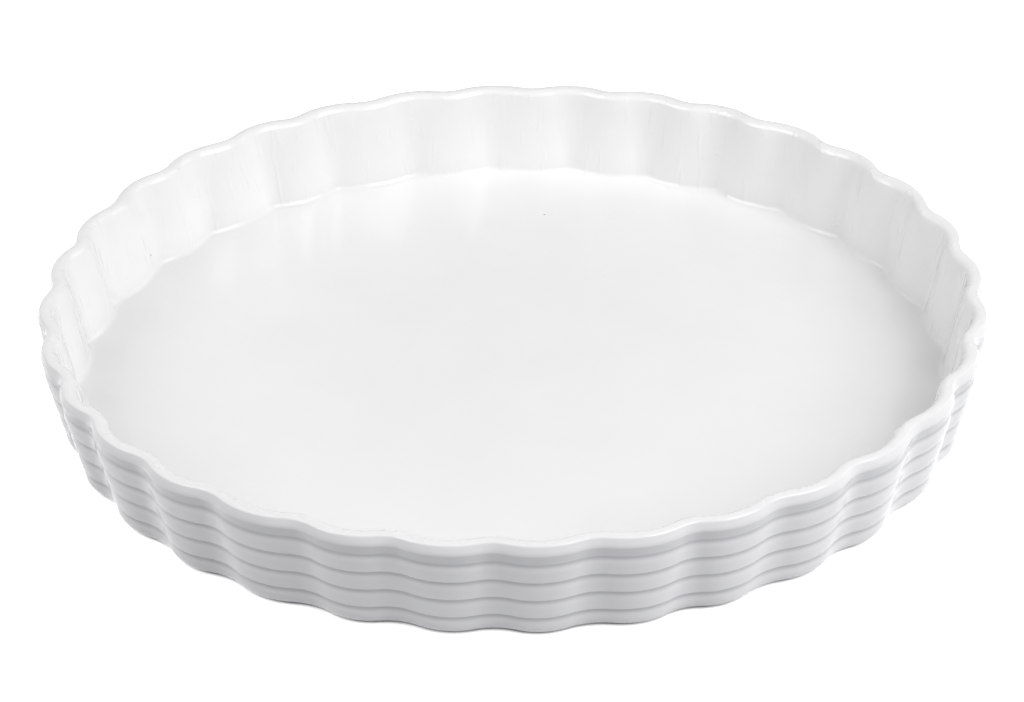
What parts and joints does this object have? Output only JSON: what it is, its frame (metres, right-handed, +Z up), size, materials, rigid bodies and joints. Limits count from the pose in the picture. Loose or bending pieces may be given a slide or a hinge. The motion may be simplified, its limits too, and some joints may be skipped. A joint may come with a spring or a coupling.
{
  "type": "fluted quiche dish",
  "caption": "Round white glazed stoneware quiche dish with a low leaning fluted wall, incised lines round the outside, a thick rounded rim and a dry foot ring.",
  "frame": {"origin": "middle of the dish at the bottom of the foot ring, on the surface that it stands on", "axes": "+Z up along the dish's axis, out of its open top; +X through a flute crest"},
  "size_m": [0.3, 0.3, 0.035],
  "materials": {
    "stoneware": "dry fired white stoneware, fine sandy tooth, bare only on the foot ring",
    "white_glaze": "glossy white glaze, slightly wavy, pooled a little in the corners and lines, with a few pinholes"
  },
  "bodies": {
    "root": {"dish_body": "stoneware", "glaze_coat": "white_glaze", "underside_glaze": "white_glaze"}
  },
  "joints": []
}
